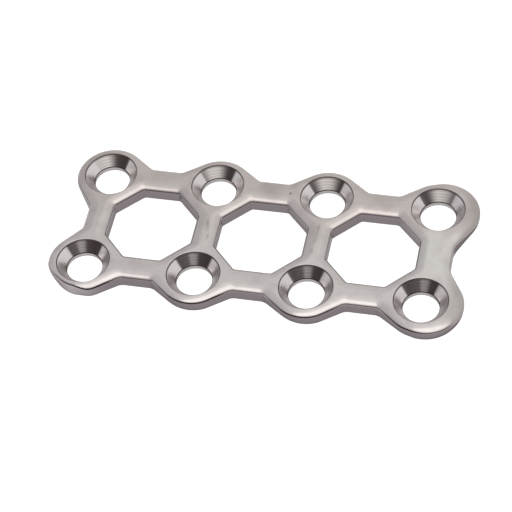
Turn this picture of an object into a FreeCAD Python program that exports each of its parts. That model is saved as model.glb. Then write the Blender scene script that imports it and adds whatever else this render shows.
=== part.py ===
import FreeCAD, Part
import math
import os

# A ladder-shaped bone plate, cut and rounded from one sheet of steel.
# Two rows of rings carry countersunk screw holes. Rails join the rings along each row,
# rungs join the rows, and an eight-sided window is left between every four rings.
# Millimetres. The origin is the middle of the hole grid on the side that lies on the bone,
# X runs along the rows and Z points away from the bone.

# Hole grid
columns = 4
column_pitch = 8.0
row_pitch = 8.0

# Sheet, and how its edges are polished
thickness = 1.25
upper_rounding = 0.55
lower_edge_break = 0.15

# Rings round the holes, each with straight flanks that run down to the rails
ring_radius = 2.50
flank_slope = 35.9
rail_outer_half = 1.00
outer_corner_radius = 0.60

# Plain end, on the left: a narrow rung
plain_rung_reach = 0.86
plain_flank_slope = 36.5
plain_corner_radius = 0.50

# Heavy end, on the right: its rings bulge outwards, and soft corners lead to a wide rung
heavy_ring_extra = 0.10
heavy_ring_shift = 0.35
heavy_rung_reach = 1.55
heavy_flank_slope = 32.1
heavy_corner_radius = 1.50

# Windows: how far rails and rungs stand in from the hole lines, and the web round each hole
rail_inner_half = 0.98
rung_half = 0.88
plain_rung_half = 0.95
heavy_rung_half = 0.86
ring_web = 2.59

# Screw seats: a short plain land, and a cone for the screw head
land_radius = 1.27
land_height = 0.42
cone_rim_radius = 1.90
rim_break = 0.05
tool_clearance = 0.50

half_row = row_pitch / 2
rail_edge = half_row + rail_outer_half
column_places = [(i - (columns - 1) / 2) * column_pitch for i in range(columns)]


def point(x, y, z=0.0):
    return FreeCAD.Vector(x, y, z)


def on_circle(centre, radius, degrees):
    angle = math.radians(degrees)
    return centre + point(radius * math.cos(angle), radius * math.sin(angle))


def tangent_at_y(centre, radius, degrees, y):
    """Where the line that touches a circle at this angle crosses a level y."""
    angle = math.radians(degrees)
    return point(centre.x + (radius - (y - centre.y) * math.sin(angle)) / math.cos(angle), y)


def tangent_at_x(centre, radius, degrees, x):
    """Where the line that touches a circle at this angle crosses an upright at x."""
    angle = math.radians(degrees)
    return point(x, centre.y + (radius - (x - centre.x) * math.cos(angle)) / math.sin(angle))


def corner_arc(before, corner, after, radius):
    """The arc that rounds a corner between two straight runs."""
    back = (before - corner).normalize()
    ahead = (after - corner).normalize()
    half_angle = back.getAngle(ahead) / 2
    inward = (back + ahead).normalize()
    setback = radius / math.tan(half_angle)
    middle = corner + inward * (radius / math.sin(half_angle) - radius)
    return Part.Arc(corner + back * setback, middle, corner + ahead * setback)


def straight_run(start, corners, end):
    """Straight edges from start to end, with an arc at each (corner, radius) on the way."""
    stops = [start] + [corner for corner, radius in corners] + [end]
    edges = []
    here = start
    for number, (corner, radius) in enumerate(corners):
        arc = corner_arc(stops[number], corner, stops[number + 2], radius)
        edges += [Part.makeLine(here, arc.StartPoint), arc.toShape()]
        here = arc.EndPoint
    return edges + [Part.makeLine(here, end)]


def ring_arcs():
    """The rings' free edges along the upper row, clockwise, as centre, radius and two angles."""
    left_touch = 90 + flank_slope
    right_touch = 90 - flank_slope
    centres = [point(x, half_row) for x in column_places]
    arcs = [[centre, ring_radius, left_touch, right_touch] for centre in centres]
    arcs[0][2] = 180 + plain_flank_slope
    blend = math.degrees(math.acos(-heavy_ring_extra / heavy_ring_shift))
    arcs[-1][3] = blend
    heavy_centre = centres[-1] + point(heavy_ring_shift, 0)
    arcs.append([heavy_centre, ring_radius + heavy_ring_extra, blend, -heavy_flank_slope])
    return arcs


def ring_edge(centre, radius, first_angle, last_angle):
    stops = [first_angle, (first_angle + last_angle) / 2, last_angle]
    return Part.Arc(*[on_circle(centre, radius, angle) for angle in stops]).toShape()


def between_rings(here, following):
    """From one ring arc to the next: down a flank, along the rail and up the next flank."""
    centre, radius, _, leave = here
    next_centre, next_radius, arrive, _ = following
    corners = []
    if leave != arrive:
        corners = [
            (tangent_at_y(centre, radius, leave, rail_edge), outer_corner_radius),
            (tangent_at_y(next_centre, next_radius, arrive, rail_edge), outer_corner_radius),
        ]
    start = on_circle(centre, radius, leave)
    return straight_run(start, corners, on_circle(next_centre, next_radius, arrive))


def outer_wire():
    """Half the outline, from one end rung to the other, and its mirror image across the X axis."""
    arcs = ring_arcs()
    centre, radius, touch, _ = arcs[0]
    x = column_places[0] - plain_rung_reach
    corner = (tangent_at_x(centre, radius, touch, x), plain_corner_radius)
    edges = straight_run(point(x, 0), [corner], on_circle(centre, radius, touch))
    for here, following in zip(arcs, arcs[1:]):
        edges.append(ring_edge(*here))
        edges += between_rings(here, following)
    edges.append(ring_edge(*arcs[-1]))
    centre, radius, _, touch = arcs[-1]
    x = column_places[-1] + heavy_rung_reach
    corner = (tangent_at_x(centre, radius, touch, x), heavy_corner_radius)
    edges += straight_run(on_circle(centre, radius, touch), [corner], point(x, 0))
    edges += [edge.mirror(point(0, 0), point(0, 1)) for edge in edges]
    return Part.Wire(Part.__sortEdges__(edges))


def window_wires():
    """An eight-sided window between every four rings, its slanting sides cut round the rings."""
    rung_halves = [plain_rung_half] + [rung_half] * (columns - 2) + [heavy_rung_half]
    inner_edge = half_row - rail_inner_half
    cut = ring_web * math.sqrt(2)
    wires = []
    for i in range(columns - 1):
        left_hole, right_hole = column_places[i:i + 2]
        left_half, right_half = rung_halves[i:i + 2]
        upper = [
            point(left_hole + left_half, half_row - cut + left_half),
            point(left_hole + cut - rail_inner_half, inner_edge),
            point(right_hole - cut + rail_inner_half, inner_edge),
            point(right_hole - right_half, half_row - cut + right_half),
        ]
        loop = upper + [point(p.x, -p.y) for p in reversed(upper)]
        wires.append(Part.makePolygon(loop + loop[:1]))
    return wires


def edges_at(solid, level):
    return [
        edge for edge in solid.Edges if all(abs(v.Z - level) < 1e-6 for v in edge.Vertexes)
    ]


def seat_tool():
    """What a screw needs, as one turned shape: a bore, its land, the cone and broken edges."""
    cone_slope = (cone_rim_radius - land_radius) / (thickness - land_height)
    rim_radius = cone_rim_radius - rim_break * cone_slope
    rim_height = thickness - rim_break
    spare = rim_break + tool_clearance
    profile = Part.makePolygon([
        point(0, 0, -tool_clearance),
        point(land_radius + lower_edge_break + tool_clearance, 0, -tool_clearance),
        point(land_radius, 0, lower_edge_break),
        point(land_radius, 0, land_height),
        point(rim_radius, 0, rim_height),
        point(rim_radius + spare, 0, rim_height + spare),
        point(0, 0, rim_height + spare),
        point(0, 0, -tool_clearance),
    ])
    return Part.Face(profile).revolve(point(0, 0), point(0, 0, 1), 360)


def bone_plate():
    face = Part.makeFace([outer_wire()] + window_wires(), "Part::FaceMakerBullseye")
    plate = face.extrude(point(0, 0, thickness))
    plate = plate.makeFillet(min(upper_rounding, thickness / 2), edges_at(plate, thickness))
    plate = plate.makeChamfer(min(lower_edge_break, thickness / 3), edges_at(plate, 0))
    seat = seat_tool()
    seats = [
        seat.translated(point(x, y)) for x in column_places for y in (-half_row, half_row)
    ]
    return plate.cut(seats)


os.makedirs("parts", exist_ok=True)
plate = bone_plate()
plate.exportStep("parts/bone_plate.step")
print("solids", len(plate.Solids), "valid", plate.isValid(), "volume", round(plate.Volume, 2))
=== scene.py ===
from math import acos, atan2, ceil, cos, degrees, hypot, pi, radians, sin, sqrt, tan

import bmesh
import bpy
from mathutils import Matrix, Quaternion, Vector
from mathutils.kdtree import KDTree


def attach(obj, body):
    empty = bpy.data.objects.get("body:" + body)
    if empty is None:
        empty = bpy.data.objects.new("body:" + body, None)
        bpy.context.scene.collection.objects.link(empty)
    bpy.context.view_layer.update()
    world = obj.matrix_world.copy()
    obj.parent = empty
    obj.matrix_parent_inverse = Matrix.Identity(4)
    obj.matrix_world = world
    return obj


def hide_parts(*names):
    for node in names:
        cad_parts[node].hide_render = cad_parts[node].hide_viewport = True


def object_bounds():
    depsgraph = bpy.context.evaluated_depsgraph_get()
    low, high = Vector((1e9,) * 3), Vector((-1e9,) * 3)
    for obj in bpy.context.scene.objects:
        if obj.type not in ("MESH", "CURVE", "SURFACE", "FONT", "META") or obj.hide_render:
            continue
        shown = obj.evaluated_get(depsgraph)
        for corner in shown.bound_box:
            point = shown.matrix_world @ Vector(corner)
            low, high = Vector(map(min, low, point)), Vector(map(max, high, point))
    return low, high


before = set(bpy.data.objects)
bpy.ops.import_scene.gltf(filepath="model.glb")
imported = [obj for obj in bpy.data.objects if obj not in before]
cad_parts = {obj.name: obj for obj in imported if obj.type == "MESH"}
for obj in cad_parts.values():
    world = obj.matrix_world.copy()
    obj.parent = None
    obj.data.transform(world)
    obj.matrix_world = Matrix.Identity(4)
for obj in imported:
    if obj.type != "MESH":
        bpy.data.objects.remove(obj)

cadLow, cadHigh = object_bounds()
mm = 0.001                      # sizes below are in millimetres and degrees
hair = mm * 0.01                # a height too small to see

plate = {
    "columns": 4, "pitch": 8.0,                     # hole grid, the same pitch both ways
    "thickness": 1.25,
    # the top edge is rounded wider than it is tall, and less on the near rings: for each of them,
    # the share at its middle and how much more of it there is at its right side
    "crownWidth": 0.78, "crownHeight": 0.39,
    "nearCrowns": ((0.62, 1.00), (0.80, 0.20), (0.90, 0.10), (0.95, 0.0)), "leastCrown": 0.60,
    # the lower edge is softer on the rings, most of all on their left flanks and at the ends
    "lowerRounding": 0.18, "ringRounding": 0.48, "ringLean": 0.21, "greatestLean": 0.45,
    "endRounding": 0.30, "ringFade": 0.55,
    # the near left ring stands in between these angles, and is less rounded below there
    "flatAngles": (-62, -100, -125, -170), "flatDepth": 0.30, "flatLower": 0.42,
    # the near rails stand in too, this far beside a ring's centre and out from the line of holes
    "nearRailDepth": 0.08, "nearRailFrom": (1.8, 0.5),
    "flankSlope": 35.9,                             # how the rings' flanks lean
    "railOuter": 1.00, "railInner": 0.98,           # rail edges from the line of holes
    "railCorner": 0.60,                             # where a flank runs into a rail
    "plainReach": 0.86, "plainSlope": 36.5, "plainCorner": 0.50,      # left end
    "heavyReach": 1.55, "heavySlope": 32.1, "heavyCorner": 1.50,      # right end
    "heavyShift": 0.35,                             # its rings bulge by this much
    "rungHalf": 0.88, "plainRungHalf": 0.95, "heavyRungHalf": 0.86,
    "ringWeb": 2.59, "windowCorner": 0.30,
    "arcStep": 2.0, "cornerStep": 6.0,              # degrees between points of an outline
    "topSegments": 16, "lowerSegments": 6,
}
seat = {
    "landRadius": 1.27, "landHeight": 0.42, "rimRadius": 1.90,
    "lip": 0.07, "rimRounding": 0.05, "lowerRounding": 0.15, "landRounding": 0.04,
    "turns": 144, "coneRows": 44, "edgeStep": 12.0, "graze": 10.0, "spare": 0.6,
    "threadPitch": 0.155, "threadDepth": 0.002, "threadShare": 0.7, "runOut": 0.08,
}

columnPlaces = [(i - (plate["columns"] - 1) / 2) * plate["pitch"] for i in range(plate["columns"])]
halfRow = plate["pitch"] / 2
top = plate["thickness"]
ringRadius = columnPlaces[0] - cadLow.x / mm        # as far out as the solid's rings
heavyRadius = cadHigh.y / mm - halfRow
up, sideways = Vector((0, 0, 1)), Vector((0, 1, 0))


# Drawing with a pen in edit mode
class Pen:
    # A vertex that is extruded along straight runs and spun along arcs.
    def __init__(self, *place):
        self.place = Vector(place)
        bpy.ops.mesh.primitive_plane_add(size=mm, location=self.place * mm)
        if bpy.context.mode != "EDIT_MESH":
            bpy.ops.object.transform_apply()
            bpy.ops.object.mode_set(mode="EDIT")
        bpy.ops.mesh.select_mode(type="VERT")
        bpy.ops.mesh.merge(type="CENTER")

    def run(self, target, pieces=1):
        move = (Vector(target) - self.place) / pieces
        for _ in range(pieces):
            bpy.ops.mesh.extrude_vertices_move(TRANSFORM_OT_translate={"value": move * mm})
        self.place = Vector(target)

    def arc(self, centre, turn, axis, step):
        # turn goes by the right-hand rule, and spin by the left-hand one
        centre = Vector(centre)
        bpy.ops.mesh.spin(steps=max(1, ceil(abs(turn) / step)), angle=radians(-turn),
                          center=centre * mm, axis=axis)
        self.place = centre + Quaternion(axis, radians(turn)) @ (self.place - centre)

    def corner(self, corner, after, radius, step):
        # a straight run up to a corner, and an arc round it towards the point after it
        corner = Vector(corner)
        arrive, leave = (corner - self.place).normalized(), (Vector(after) - corner).normalized()
        turn = arrive.angle(leave)
        setback = radius * tan(turn / 2)
        self.run(corner - arrive * setback)
        centre = corner + (leave - arrive).normalized() * (radius / cos(turn / 2))
        self.arc(centre, degrees(turn), arrive.cross(leave).normalized(), step)


def deselectAll():
    if bpy.context.mode != "OBJECT":
        bpy.ops.object.mode_set(mode="OBJECT")
    bpy.ops.object.select_all(action="DESELECT")


def selectEdges(piece, wanted):
    # in edit mode: selects the edges for which wanted(edge) holds
    bpy.ops.mesh.select_mode(type="EDGE")
    bpy.ops.mesh.select_all(action="DESELECT")
    mesh = bmesh.from_edit_mesh(piece.data)
    for edge in mesh.edges:
        edge.select_set(wanted(edge))
    bmesh.update_edit_mesh(piece.data)


def applyModifier(piece, kind, **settings):
    modifier = piece.modifiers.new(kind.lower(), kind)
    for name, value in settings.items():
        setattr(modifier, name, value)
    bpy.context.view_layer.objects.active = piece
    bpy.ops.object.modifier_apply(modifier=modifier.name)


# The outline of the plate
def onCircle(centre, radius, angle):
    return centre + Vector((cos(radians(angle)), sin(radians(angle)), 0)) * radius


def touchAtY(centre, radius, angle, y):
    # where the line that touches a circle at this angle crosses a level y
    a = radians(angle)
    return Vector((centre.x + (radius - (y - centre.y) * sin(a)) / cos(a), y, top))


def touchAtX(centre, radius, angle, x):
    # where that line crosses an upright at x
    a = radians(angle)
    return Vector((x, centre.y + (radius - (x - centre.x) * cos(a)) / sin(a), top))


def ringArcs():
    # the rings' free edges along the upper row: centre, radius, first angle, last angle
    arcs = []
    for x in columnPlaces:
        centre = Vector((x, halfRow, top))
        arcs.append([centre, ringRadius, 90 + plate["flankSlope"], 90 - plate["flankSlope"]])
    arcs[0][2] = 180 + plate["plainSlope"]
    blend = degrees(acos((ringRadius - heavyRadius) / plate["heavyShift"]))
    arcs[-1][3] = blend
    bulged = centre + Vector((plate["heavyShift"], 0, 0))
    arcs.append([bulged, heavyRadius, blend, -plate["heavySlope"]])
    return arcs


def drawHalf():
    # half of the flat shape: its outline from the left end to the right, and back round the windows
    arcs = ringArcs()
    centre, radius, first, last = arcs[0]
    endX = columnPlaces[0] - plate["plainReach"]
    start = (endX, 0, top)
    pen = Pen(*start)
    pen.corner(touchAtX(centre, radius, first, endX), onCircle(centre, radius, first),
               plate["plainCorner"], plate["cornerStep"])
    railY = halfRow + plate["railOuter"]
    for here, following in zip(arcs, arcs[1:] + [None]):
        centre, radius, first, last = here
        if (onCircle(centre, radius, first) - pen.place).length > 1e-3:
            pen.run(onCircle(centre, radius, first))
        pen.arc(centre, last - first, up, plate["arcStep"])
        if following and following[2] != last:
            leave = touchAtY(centre, radius, last, railY)
            arrive = touchAtY(*following[:3], railY)
            pen.corner(leave, arrive, plate["railCorner"], plate["cornerStep"])
            pen.corner(arrive, onCircle(*following[:3]), plate["railCorner"], plate["cornerStep"])
    endX = columnPlaces[-1] + plate["heavyReach"]
    pen.corner(touchAtX(centre, radius, last, endX), (endX, 0, top),
               plate["heavyCorner"], plate["cornerStep"] / 2)
    pen.run((endX, 0, top))
    for number in reversed(range(plate["columns"] - 1)):
        drawWindow(pen, number)
    pen.run(start)
    bpy.ops.mesh.select_all(action="SELECT")
    bpy.ops.mesh.remove_doubles(threshold=mm * 1e-3)
    bpy.ops.mesh.edge_face_add()


def drawWindow(pen, number):
    leftX, rightX = columnPlaces[number:number + 2]
    rungs = [plate["rungHalf"]] * plate["columns"]
    rungs[0], rungs[-1] = plate["plainRungHalf"], plate["heavyRungHalf"]
    left, right = leftX + rungs[number], rightX - rungs[number + 1]
    innerY = halfRow - plate["railInner"]
    cut = plate["ringWeb"] * sqrt(2)                # x + y along a slanting side, from a hole
    stops = [
        (right, halfRow - cut + rungs[number + 1], top),
        (rightX - cut + plate["railInner"], innerY, top),
        (leftX + cut - plate["railInner"], innerY, top),
        (left, halfRow - cut + rungs[number], top),
        (left, 0, top),
    ]
    pen.run((right, 0, top))
    for corner, after in zip(stops, stops[1:]):
        pen.corner(corner, after, plate["windowCorner"], plate["cornerStep"])
    pen.run(stops[-1])


def isRim(edge, level):
    # an edge between the flat face at this height and a wall
    flat = all(abs(v.co.z - level * mm) < 1e-8 for v in edge.verts)
    return flat and abs(edge.link_faces[0].normal.z - edge.link_faces[1].normal.z) > 0.5


def step(low, high, value):
    # 0 at low, 1 at high and a soft step between
    share = max(0, min(1, (value - low) / (high - low)))
    return share * share * (3 - 2 * share)


def flatShare(place):
    # 1 on the flatter side of the near left ring
    side = place - Vector((columnPlaces[0], -halfRow))
    if side.length > ringRadius * 1.001:
        return 0
    angle = degrees(atan2(side.y, side.x))
    first, full, late, last = plate["flatAngles"]
    return step(first, full, angle) * step(last, late, angle)


def drawIn(piece):
    # in edit mode, while the piece is flat: the near left ring and the near rails stand in a little
    mesh = bmesh.from_edit_mesh(piece.data)
    centre = Vector((columnPlaces[0], -halfRow, top)) * mm
    leastBeside, leastOut = plate["nearRailFrom"]
    for v in mesh.verts:
        deep = plate["flatDepth"] * flatShare(v.co.xy / mm)
        v.co -= (v.co - centre).normalized() * deep * mm
        beside = min(abs(v.co.x / mm - x) for x in columnPlaces)
        between = beside > leastBeside and abs(v.co.x / mm) < columnPlaces[-1]
        if between and v.co.y / mm < -halfRow - leastOut:
            v.co.y += plate["nearRailDepth"] * mm
    bmesh.update_edit_mesh(piece.data)


def makePlate():
    deselectAll()
    drawHalf()
    bpy.ops.object.mode_set(mode="OBJECT")
    piece = bpy.context.object
    piece.name = "bonePlate"
    applyModifier(piece, "MIRROR", use_axis=(False, True, False), merge_threshold=mm * 1e-3)
    bpy.ops.object.mode_set(mode="EDIT")
    bpy.ops.mesh.select_all(action="SELECT")
    bpy.ops.mesh.normals_make_consistent(inside=False)
    drawIn(piece)
    bpy.ops.mesh.select_all(action="SELECT")
    bpy.ops.mesh.extrude_region_move(TRANSFORM_OT_translate={"value": (0, 0, -top * mm)})
    bpy.ops.mesh.select_all(action="SELECT")
    bpy.ops.mesh.normals_make_consistent(inside=False)
    corners = crownCorners(piece)
    roundEdge(piece, top, plate["crownWidth"], plate["topSegments"])
    selectCrown(piece)
    bpy.ops.transform.resize(value=(1, 1, plate["crownHeight"] / plate["crownWidth"]),
                             center_override=(0, 0, top * mm))
    scaleAboutCorners(piece, corners, hair, top * mm + hair)
    corners = lowerCorners(piece)
    roundEdge(piece, 0, plate["lowerRounding"], plate["lowerSegments"])
    scaleAboutCorners(piece, corners, -hair, plate["lowerRounding"] * mm + hair)
    bpy.ops.object.mode_set(mode="OBJECT")
    return piece


def roundEdge(piece, level, width, segments):
    selectEdges(piece, lambda edge: isRim(edge, level))
    bpy.ops.mesh.bevel(offset=width * mm, segments=segments, profile=0.5,
                       clamp_overlap=False, loop_slide=False)


def selectCrown(piece):
    # in edit mode: selects all but the lower corners
    bpy.ops.mesh.select_mode(type="VERT")
    bpy.ops.mesh.select_all(action="DESELECT")
    mesh = bmesh.from_edit_mesh(piece.data)
    for v in mesh.verts:
        v.select_set(v.co.z > hair)
    bmesh.update_edit_mesh(piece.data)


def ringShare(place):
    # 1 at a ring's free edge and 0 away from it, with the ring's centre
    rings = [(Vector((x, y)), ringRadius) for x in columnPlaces for y in (-halfRow, halfRow)]
    rings += [(centre + Vector((plate["heavyShift"], 0)), heavyRadius) for centre, _ in rings[-2:]]
    excess, centre = min(((place - c).length - r, tuple(c)) for c, r in rings)
    isInside = abs(place.y) < halfRow and abs(place.x) < columnPlaces[-1]
    return 0 if isInside else step(plate["ringFade"], 0, excess), Vector(centre)


def crownCorners(piece):
    # the sharp upper corners of the outline, each with how much smaller its rounding will be
    corners = []
    for v in bmesh.from_edit_mesh(piece.data).verts:
        if v.co.z > hair:
            share, centre = ringShare(v.co.xy / mm)
            middle, slope = plate["nearCrowns"][round(centre.x / plate["pitch"] + 1.5)]
            side = v.co.xy / mm - centre
            wanted = max(plate["leastCrown"], min(1, middle + slope * side.x / side.length))
            corners.append((v.co.copy(), 1 + (wanted - 1) * share * (centre.y < 0)))
    return corners


def lowerCorners(piece):
    # the sharp lower corners of the outline, each with how much wider its rounding will be
    corners = []
    for v in bmesh.from_edit_mesh(piece.data).verts:
        if v.co.z < hair:
            share, centre = ringShare(v.co.xy / mm)
            side = v.co.xy / mm - centre
            lean = max(-plate["greatestLean"], min(plate["greatestLean"], side.x / side.length))
            past = max(0, abs(v.co.x) / mm - columnPlaces[-1]) / ringRadius
            wanted = plate["ringRounding"] - plate["ringLean"] * lean + plate["endRounding"] * past
            wanted -= plate["flatLower"] * flatShare(v.co.xy / mm) ** 3
            corners.append((v.co.copy(), 1 + (wanted / plate["lowerRounding"] - 1) * share))
    return corners


def scaleAboutCorners(piece, corners, lowest, highest):
    # widens or narrows the rounding at these levels about the sharp corner it was made from
    tree = KDTree(len(corners))
    for number, (place, _) in enumerate(corners):
        tree.insert(place.xy.to_3d(), number)
    tree.balance()
    mesh = bmesh.from_edit_mesh(piece.data)
    for v in mesh.verts:
        if lowest < v.co.z < highest:
            _, number, _ = tree.find(v.co.xy.to_3d())
            corner, wider = corners[number]
            v.co = corner + (v.co - corner) * wider
    bmesh.update_edit_mesh(piece.data)


# The screw seats
def makeSeatTool():
    # what is cut away at a hole: a profile from the axis up the land and the cone, turned round
    land, height = seat["landRadius"], seat["landHeight"]
    rimArc = seat["rimRounding"]
    coneTop = Vector((seat["rimRadius"], 0, top - rimArc - seat["lip"]))
    graze, spare = seat["graze"], seat["spare"]
    outwards = Vector((cos(radians(graze)), 0, sin(radians(graze))))
    lowerArc = seat["lowerRounding"]

    # the lower edge of the bore: its arc starts a little short of the flat underside
    centre = Vector((land + lowerArc, 0, lowerArc))
    start = centre + Quaternion(sideways, radians(graze)) @ Vector((0, 0, -lowerArc))
    flared = start + Vector((outwards.x, 0, -outwards.z)) * lowerArc
    pen = Pen(0, 0, -spare)
    pen.run((flared.x, 0, -spare))
    pen.run(flared)
    pen.run(start)
    pen.arc(centre, 90 - graze, sideways, seat["edgeStep"])
    # the land, the cone, a short upright lip and the rim, whose arc ends a little short of the top
    pen.corner((land, 0, height), coneTop, seat["landRounding"], seat["edgeStep"])
    pen.run(coneTop, seat["coneRows"])
    pen.run((coneTop.x, 0, top - rimArc))
    centre = pen.place + Vector((rimArc, 0, 0))
    pen.arc(centre, 90 - graze, sideways, seat["edgeStep"])
    pen.run(pen.place + outwards * rimArc)
    pen.run((pen.place.x, 0, top + spare))
    pen.run((0, 0, top + spare))
    bpy.ops.mesh.select_all(action="SELECT")
    bpy.ops.mesh.spin(steps=seat["turns"], angle=radians(360), center=(0, 0, 0), axis=up)
    bpy.ops.mesh.select_all(action="SELECT")
    bpy.ops.mesh.remove_doubles(threshold=mm * 1e-3)
    bpy.ops.mesh.normals_make_consistent(inside=False)
    bpy.ops.object.mode_set(mode="OBJECT")
    tool = bpy.context.object
    cutThread(tool, height, coneTop.z)
    return tool


def cutThread(tool, lowest, highest):
    # a fine V thread that winds up the cone and runs out at both ends
    for v in tool.data.vertices:
        height, radius = v.co.z / mm, hypot(v.co.x, v.co.y) / mm
        if not lowest <= height <= highest or radius < seat["landRadius"]:
            continue
        along = (height - lowest) / seat["threadPitch"] - atan2(v.co.y, v.co.x) / radians(360)
        groove = max(0, 1 - abs(along % 1 - 0.5) * 2 / seat["threadShare"])
        fade = min(1, (height - lowest) / seat["runOut"], (highest - height) / seat["runOut"])
        wider = 1 + seat["threadDepth"] * groove * fade / radius
        v.co.x *= wider
        v.co.y *= wider


def cutSeats(piece):
    deselectAll()
    tool = makeSeatTool()
    tool.name = "seatTool"
    copies = []
    for x in columnPlaces:
        for y in (-halfRow, halfRow):
            copy = tool.copy()
            copy.data = tool.data.copy()
            copy.data.transform(Matrix.Translation((x * mm, y * mm, 0)))
            bpy.context.collection.objects.link(copy)
            copies.append(copy)
    deselectAll()
    for copy in copies:
        copy.select_set(True)
    bpy.context.view_layer.objects.active = copies[0]
    bpy.ops.object.join()
    applyModifier(piece, "BOOLEAN", operation="DIFFERENCE", object=copies[0], solver="EXACT")
    bpy.data.objects.remove(copies[0])
    bpy.data.objects.remove(tool)


def markSeats(piece):
    # faces of the cones and lands take the second material
    holes = [Vector((x, y)) * mm for x in columnPlaces for y in (-halfRow, halfRow)]
    for face in piece.data.polygons:
        reach = min((face.center.xy - hole).length for hole in holes)
        if reach < seat["rimRadius"] * mm and face.normal.z < 0.9:
            face.material_index = 1


# Shader maths
class Number:
    # a shader value: an expression on it adds Math nodes
    def __init__(self, shader, socket):
        self.shader, self.socket = shader, socket

    def maths(self, operation, *values):
        return self.shader.number("Math", {"operation": operation}, *values)

    def __add__(self, other):
        return self.maths("ADD", self, other)

    def __sub__(self, other):
        return self.maths("SUBTRACT", self, other)

    def __rsub__(self, other):
        return self.maths("SUBTRACT", other, self)

    def __mul__(self, other):
        return self.maths("MULTIPLY", self, other)

    def __truediv__(self, other):
        return self.maths("DIVIDE", self, other)

    def __rtruediv__(self, other):
        return self.maths("DIVIDE", other, self)

    __radd__, __rmul__ = __add__, __mul__

    def absolute(self):
        return self.maths("ABSOLUTE", self)

    def rounded(self):
        return self.maths("ROUND", self)

    def angleFrom(self, ahead):
        # in degrees, of a direction that goes this far sideways for so much ahead
        return self.maths("ARCTAN2", self, ahead) * (180 / pi)

    def smooth(self, low, high):
        # 0 below low, 1 above high and a soft step between
        return self.shader.number(
            "MapRange", {"interpolation_type": "SMOOTHSTEP"}, self, low, high, 0.0, 1.0)

    def within(self, low, rise, fall, high):
        # 1 from rise to fall, 0 below low and above high
        return self.smooth(low, rise) * (1 - self.smooth(fall, high))


class Shader:
    def __init__(self, tree):
        self.tree = tree
        tree.nodes.clear()

    def add(self, kind, settings, *inputs, out=0, **named):
        # one node: its type, its settings, then its sockets' values or links, in order or by name
        node = self.tree.nodes.new("ShaderNode" + kind)
        for name, value in settings.items():
            setattr(node, name, value)
        byName = {name.replace("_", " "): value for name, value in named.items()}
        for place, value in [*enumerate(inputs), *byName.items()]:
            value = value.socket if isinstance(value, Number) else value
            if isinstance(value, bpy.types.NodeSocket):
                self.tree.links.new(value, node.inputs[place])
            elif value is not None:
                node.inputs[place].default_value = value
        return node.outputs[out] if len(node.outputs) else None

    def number(self, kind, settings, *inputs, **named):
        return Number(self, self.add(kind, settings, *inputs, **named))

    def mix(self, share, first, second):
        settings = {"data_type": "RGBA"}
        return self.add("Mix", settings, share, None, None, None, None, None, first, second, out=2)

    def towards(self, direction):
        # how far a direction goes towards the camera and to its right
        return [self.number("VectorMath", {"operation": "DOT_PRODUCT"}, direction, viewer[k], out=1)
                for k in ("toCamera", "toRight")]

    def readPlace(self):
        # the point on the plate, its three measures in millimetres, and how its surface faces:
        # upwards, towards the camera and to the right
        place = self.add("TexCoord", {}, out=3)
        measures = [self.number("SeparateXYZ", {}, place, out=k) * (1 / mm) for k in range(3)]
        normal = self.add("NewGeometry", {}, out=1)
        upwards = self.number("SeparateXYZ", {}, normal, out=2)
        return place, measures, [upwards, *self.towards(normal)]


# The steel outside the seats. Where a value holds a range, the soft step runs from its first
# number to its last: places in millimetres, or how much a surface faces a direction.
viewer = {"toCamera": (0.301, -0.954, 0), "toRight": (0.954, 0.301, 0)}
steel = {
    "back": (0.555, 0.504, 0.485, 1), "front": (0.60, 0.564, 0.552, 1),       # flat top by each row: the front row painted lighter, as the light falls there
    "rows": (-2.5, 4.0),
    # a painted highlight on the wide rung, lighter than the top around it
    "wideRungHighlight": (0.66, 0.63, 0.61, 1), "wideRungHighlightX": (10.8, 11.8), "wideRungHighlightY": (-2.6, -1.4, 1.4, 2.6),
    # painted shade on the walls, darkest where they face the camera
    "wallShade": (0.19, 0.165, 0.175, 1), "wallAsideShade": (0.32, 0.30, 0.305, 1), "wallShadeFacing": (0.2, 0.8),
    # a painted lighter reflection on the near-left walls
    "wallLeftReflection": (0.36, 0.33, 0.345, 1), "wallLeftReflectionX": (-12.8, -9.8), "wallLeftReflectionY": (-4.0, -1.0),
    # painted shade on surfaces that face down
    "underShade": (0.11, 0.105, 0.11, 1), "underShadeFacing": (-0.35, -0.02),
    # a painted reflection line under the highlight of the near edges, darkest on the left rings
    "line": (0.42, 0.37, 0.37, 1), "lineRise": (0.30, 0.50), "lineFacing": (0.1, 0.7),
    "ringPaintedLine": (0.03, 0.022, 0.022, 1), "ringPaintedLineY": (4.9, 5.6), "ringPaintedLineX": (1, 16),
    "flatRise": (0.62, 0.86),                       # from the rounded edge to the flat top
    "leftShift": 0.28, "leftShiftX": (-10, 4),      # the painted line is wider on flanks that face left
    "leftFacing": (0.0, 0.6),
    "scuff": (0.20, 0.17, 0.16, 1),                 # what dulls the flat top
    "cloud": 900.0, "cloudRange": (0.40, 0.75), "cloudShare": 0.16, "cloudRoughness": 0.06,
    # the flat top is darker towards the right end
    "endX": (13.3, 14.4), "endShare": 0.30,
    # scuffs on the rungs: x at y 0, slope, lowest y and highest y, broken into lengthwise streaks
    "scuffs": [(-3.85, -0.22, -1.3, 1.5), (3.85, 0.05, -1.4, 1.7)],
    "scuffEdge": (0.04, 0.20), "scuffEnd": 0.4, "scuffShare": 0.5,
    "streaks": (9000, 1500, 0), "streakRange": (0.35, 0.65),
    # round marks: x, y, radius and share
    "marks": [(1.37, 3.95, 0.14, 0.9), (0.0, 4.2, 1.3, 0.22), (8.0, 4.2, 1.3, 0.12)],
    "markEdge": (0.3, 1.0),
    "roughness": 0.16,
    "edgeTint": (0.45, 0.43, 0.43, 1),              # seen at a grazing angle, on the seats too
}


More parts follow.
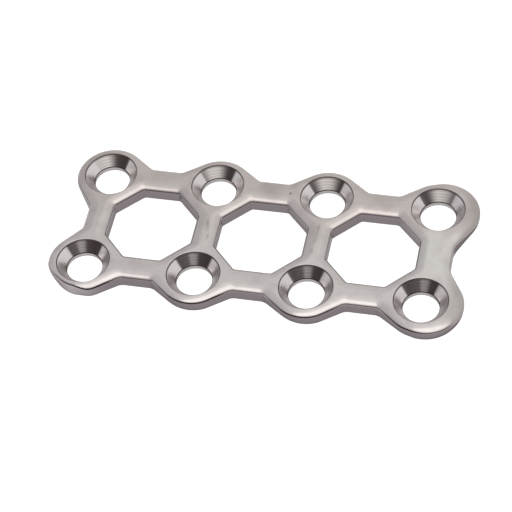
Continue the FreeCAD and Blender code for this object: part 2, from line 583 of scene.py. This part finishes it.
def sideColour(shader, measures, facing, crown):
    # the walls, with painted shade: darker where they face the camera and where they face down, a
    # painted lighter reflection on the near-left walls, and the painted reflection line where they round
    # into the top
    placeX, placeY, _ = measures
    upwards, frontwards, rightwards = facing
    # painted shade: walls that face the camera are darker than those that face aside
    wallShade = shader.mix(frontwards.smooth(*steel["wallShadeFacing"]), steel["wallAsideShade"], steel["wallShade"])
    # a painted lighter reflection on the near-left walls
    nearLeftReflection = (1 - placeX.smooth(*steel["wallLeftReflectionX"])) * (1 - placeY.smooth(*steel["wallLeftReflectionY"]))
    wallShade = shader.mix(nearLeftReflection, wallShade, steel["wallLeftReflection"])
    # painted shade on surfaces that face down, as under the plate
    wallShade = shader.mix(upwards.smooth(*steel["underShadeFacing"]), steel["underShade"], wallShade)
    # the painted reflection line where the walls round into the top, darkest on the rings
    low, high = steel["leftFacing"]
    paler = placeX.smooth(*steel["ringPaintedLineX"]) * (rightwards + high).smooth(low, high)
    ring = placeY.absolute().smooth(*steel["ringPaintedLineY"]) * (1 - paler)
    line = crown.smooth(*steel["lineRise"]) * frontwards.smooth(*steel["lineFacing"])
    return shader.mix(line, wallShade, shader.mix(ring, steel["line"], steel["ringPaintedLine"]))


def topColour(shader, place, measures, cloud):
    # the flat top, painted lighter in front and with a painted highlight on the wide rung, darker
    # towards the right end, and with what has dulled it
    placeX, placeY, _ = measures
    # painted light: the front row's top is lighter than the back row's
    flat = shader.mix(placeY.smooth(*steel["rows"]), steel["front"], steel["back"])
    # a painted highlight on the wide rung
    rungHighlight = placeX.smooth(*steel["wideRungHighlightX"]) * placeY.within(*steel["wideRungHighlightY"])
    flat = shader.mix(rungHighlight, flat, steel["wideRungHighlight"])
    # darker towards the right end
    flat = shader.mix(placeX.smooth(*steel["endX"]) * steel["endShare"], flat, steel["scuff"])
    flat = shader.mix(cloud.smooth(*steel["cloudRange"]) * steel["cloudShare"], flat, steel["scuff"])
    streaky = shader.add("VectorMath", {"operation": "MULTIPLY"}, place, steel["streaks"])
    specks = shader.number("TexNoise", {}, Vector=streaky, Scale=1.0, Detail=3.0)
    scuffs, end = 0, steel["scuffEnd"]
    for x, slope, lowest, highest in steel["scuffs"]:
        off = placeX - placeY * slope - x
        along = placeY.within(lowest, lowest + end, highest - end, highest)
        scuffs = scuffs + (1 - off.absolute().smooth(*steel["scuffEdge"])) * along
    scuffs = scuffs * specks.smooth(*steel["streakRange"])
    flat = shader.mix(scuffs * steel["scuffShare"], flat, steel["scuff"])
    for x, y, radius, share in steel["marks"]:
        away = shader.number("VectorMath", {"operation": "DISTANCE"}, place,
                             (x * mm, y * mm, top * mm), out=1)
        mark = 1 - (away * (1 / mm / radius)).smooth(*steel["markEdge"])
        flat = shader.mix(mark * share, flat, steel["scuff"])
    return flat


def steelMaterial():
    material = bpy.data.materials.new("polishedSteel")
    material.use_nodes = True
    shader = Shader(material.node_tree)
    place, measures, facing = shader.readPlace()
    upwards, frontwards, rightwards = facing
    cloud = shader.number("TexNoise", {}, Vector=place, Scale=steel["cloud"], Detail=4.0)
    # shifts the painted reflection line further up the crown on flanks that face left
    leftwards = (rightwards * -1).smooth(*steel["leftFacing"])
    leftwards = leftwards * (1 - measures[0].smooth(*steel["leftShiftX"]))
    crown = upwards - leftwards * frontwards.smooth(*steel["leftFacing"]) * steel["leftShift"]
    colour = shader.mix(crown.smooth(*steel["flatRise"]), sideColour(shader, measures, facing, crown),
                        topColour(shader, place, measures, cloud))
    change = steel["cloudRoughness"]
    surface = shader.add("BsdfPrincipled", {}, Metallic=1.0, Base_Color=colour,
                         Roughness=cloud * change + (steel["roughness"] - change / 2),
                         Specular_Tint=steel["edgeTint"])
    shader.add("OutputMaterial", {}, surface)
    return material


# The seats. Their far walls, between angles round the cone from its farthest point, carry a painted
# reflection: dark, with a lighter painted highlight patch whose middle moves from hole to hole.
seatLook = {
    # coneNearShade: painted shade on the cone walls that face away from the camera
    "cone": (0.74, 0.70, 0.70, 1), "coneNearShade": (0.50, 0.46, 0.455, 1), "nearShadeFacing": (-0.70, 0.0),
    # the far walls' painted reflection: its dark part and its painted highlight
    "farReflectionDark": (0.12, 0.102, 0.10, 1), "farReflectionLight": (0.95, 0.91, 0.89, 1),
    "far": (-39, -34, 47, 53), "highlightPatchEdge": (0.35, 1.6), "rows": (-0.5, 0.5),
    "front": {"turn": 0.83, "middle": 8, "width": 10, "share": 0.35},
    "back": {"turn": 1.60, "middle": 0, "width": 25, "share": 0.75},
    "leftOfHighlightPatch": (-14, 10), "leftShare": 0.06,
    "land": (0.34, 0.32, 0.32, 1), "landEdge": 0.03,
    # seam: a painted shade line just above the land's top
    "seamShade": (0.05, 0.04, 0.04, 1), "seamShadeHeights": (-0.04, 0, 0.03, 0.07),     # from the land's top
    # lip: painted shade on the lip and rim, except where they face away from the camera
    "lip": (0.12, 0.10, 0.10, 1), "lipShadeDepths": (0.20, 0.11), "lipShadeFacing": (-0.8, -0.2),
    "roughness": 0.22, "nearRoughness": 0.45, "softerFacing": (-0.55, 0.25),
}


def farReflection(shader, measures, around):
    # the painted reflection on a far cone wall: dark, with a painted highlight patch
    placeX, placeY, _ = measures
    front, back = seatLook["front"], seatLook["back"]
    backRow = placeY.smooth(*seatLook["rows"])
    turn, start, width, share = [
        backRow * (back[k] - front[k]) + front[k] for k in ("turn", "middle", "width", "share")]
    column = (placeX * (1 / plate["pitch"]) + 0.5).rounded() * plate["pitch"] - plate["pitch"] / 2
    off = around - (column * turn + start)
    highlightPatch = (1 - (off.absolute() / width).smooth(*seatLook["highlightPatchEdge"])) * share
    highlightPatch = highlightPatch + (1 - off.smooth(*seatLook["leftOfHighlightPatch"])) * seatLook["leftShare"]
    return shader.mix(highlightPatch, seatLook["farReflectionDark"], seatLook["farReflectionLight"])


def seatMaterial():
    material = bpy.data.materials.new("turnedSteel")
    material.use_nodes = True
    shader = Shader(material.node_tree)
    _, measures, (_, frontwards, rightwards) = shader.readPlace()
    around = (rightwards * -1).angleFrom(frontwards)
    # painted shade on the near cone walls
    cone = shader.mix(frontwards.smooth(*seatLook["nearShadeFacing"]), seatLook["coneNearShade"], seatLook["cone"])
    # the far walls take the painted reflection
    cone = shader.mix(around.within(*seatLook["far"]), cone, farReflection(shader, measures, around))
    level, landTop = measures[2], seat["landHeight"]
    colour = shader.mix(level.smooth(landTop - seatLook["landEdge"], landTop), seatLook["land"], cone)
    # a painted shade line where the land meets the cone
    seamShade = level.within(*[landTop + height for height in seatLook["seamShadeHeights"]])
    colour = shader.mix(seamShade, colour, seatLook["seamShade"])
    # painted shade on the lip and rim
    lip = level.smooth(*[top - depth for depth in seatLook["lipShadeDepths"]])
    lip = lip * frontwards.smooth(*seatLook["lipShadeFacing"])
    colour = shader.mix(lip, colour, seatLook["lip"])
    softer = 1 - frontwards.smooth(*seatLook["softerFacing"])
    softer = softer * (seatLook["nearRoughness"] - seatLook["roughness"])
    surface = shader.add("BsdfPrincipled", {}, Metallic=1.0, Base_Color=colour,
                         Roughness=softer + seatLook["roughness"], Specular_Tint=steel["edgeTint"])
    shader.add("OutputMaterial", {}, surface)
    return material


bonePlate = makePlate()
print("plate outline:", len(bonePlate.data.vertices), "vertices")
cutSeats(bonePlate)
print("screw seats cut:", len(bonePlate.data.vertices), "vertices")
deselectAll()
bonePlate.select_set(True)
bpy.context.view_layer.objects.active = bonePlate
bpy.ops.object.shade_smooth_by_angle(angle=radians(30))
applyModifier(bonePlate, "WEIGHTED_NORMAL", keep_sharp=True, weight=100)
bonePlate.data.materials.append(steelMaterial())
bonePlate.data.materials.append(seatMaterial())
markSeats(bonePlate)
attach(bonePlate, "root")
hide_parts("bone_plate")
print("steel and seats coloured")

# The studio: a glowing pale floor, a soft light above it, and a room that the steel reflects. The
# room's soft steps run over heights, or over how far a direction goes to the camera or the right.
studio = {
    "floorSize": 1.2, "floorGlow": 0.90, "floorShade": (0.45, 0.45, 0.45, 1),
    # the light's height in metres, and its edges as shares of that height
    "boxHeight": 0.60, "boxLeft": -0.42, "boxRight": 0.60, "boxNear": -1.0, "boxFar": 0.25,
    "boxGlow": 0.12,
    "farLeft": (0.68, 0.68, 0.69, 1), "farRight": (0.85, 0.85, 0.84, 1),
    "highLeft": (0.80, 0.80, 0.81, 1), "highRight": (1.10, 1.10, 1.09, 1),
    "sides": (-0.30, 0.15), "highFrom": (0.66, 1.0),
    "nearHigh": (0.95, 0.93, 0.92, 1), "nearMiddle": (0.34, 0.32, 0.315, 1),
    "nearLow": (0.20, 0.185, 0.183, 1),
    "nearHighFrom": (0.44, 0.62), "nearMiddleFrom": (0.14, 0.26),
    "nearSide": (0.20, 0.50), "nearTurn": 0.22,
    # a bright panel, high up on the camera's side
    "panel": (1.48, 1.46, 1.44, 1), "panelEdge": (1.48, 1.70), "panelTurn": 0.2, "panelLift": 1.6,
    "panelLow": (0.64, 0.74),
}


def makeFloor():
    bpy.ops.mesh.primitive_plane_add(size=studio["floorSize"])
    floor = bpy.context.object
    floor.name = "floor"
    material = bpy.data.materials.new("paleFloor")
    material.use_nodes = True
    shader = Shader(material.node_tree)
    surface = shader.add("BsdfPrincipled", {}, Base_Color=studio["floorShade"], Roughness=1.0,
                         Specular_IOR_Level=0.0, Emission_Color=(1, 1, 1, 1),
                         Emission_Strength=studio["floorGlow"])
    shader.add("OutputMaterial", {}, surface)
    floor.data.materials.append(material)


def makeLight():
    height = studio["boxHeight"]
    left, right, near, far = [
        studio[k] * height for k in ("boxLeft", "boxRight", "boxNear", "boxFar")]
    bpy.ops.object.light_add(type="AREA", location=((left + right) / 2, (near + far) / 2, height))
    lamp = bpy.context.object
    lamp.name = "softbox"
    lamp.data.shape = "RECTANGLE"
    lamp.data.size, lamp.data.size_y = right - left, far - near
    lamp.data.energy = studio["boxGlow"] * pi * lamp.data.size * lamp.data.size_y


def makeWorld():
    world = bpy.data.worlds.new("studio")
    bpy.context.scene.world = world
    world.use_nodes = True
    shader = Shader(world.node_tree)
    ray = shader.add("TexCoord", {}, out=0)
    toCamera, toRight = shader.towards(ray)
    height = shader.number("SeparateXYZ", {}, ray, out=2)
    side = toRight.smooth(*studio["sides"])
    far = shader.mix(height.smooth(*studio["highFrom"]),
                     shader.mix(side, studio["farLeft"], studio["farRight"]),
                     shader.mix(side, studio["highLeft"], studio["highRight"]))
    near = shader.mix(height.smooth(*studio["nearHighFrom"]), studio["nearMiddle"], studio["nearHigh"])
    near = shader.mix(height.smooth(*studio["nearMiddleFrom"]), studio["nearLow"], near)
    isNear = (toCamera - toRight * studio["nearTurn"]).smooth(*studio["nearSide"])
    panel = toCamera + toRight * studio["panelTurn"] + height * studio["panelLift"]
    panel = panel.smooth(*studio["panelEdge"]) * height.smooth(*studio["panelLow"])
    glow = shader.mix(panel, shader.mix(isNear, far, near), studio["panel"])
    shader.add("OutputWorld", {}, shader.add("Background", {}, glow, 1.0))


makeFloor()
makeLight()
makeWorld()
bpy.context.scene.view_settings.view_transform = "Standard"
print("studio set up")

# place in millimetres, turn in degrees and lens in millimetres
camera = {"place": (25.293, -79.571, 107.250), "turn": (37.353, 4.761, 11.789), "lens": 134.69}
bpy.ops.object.camera_add(location=Vector(camera["place"]) * mm,
                          rotation=[radians(angle) for angle in camera["turn"]])
bpy.context.scene.camera = bpy.context.object
bpy.context.object.data.lens = camera["lens"]
bpy.context.object.data.clip_start = 0.005
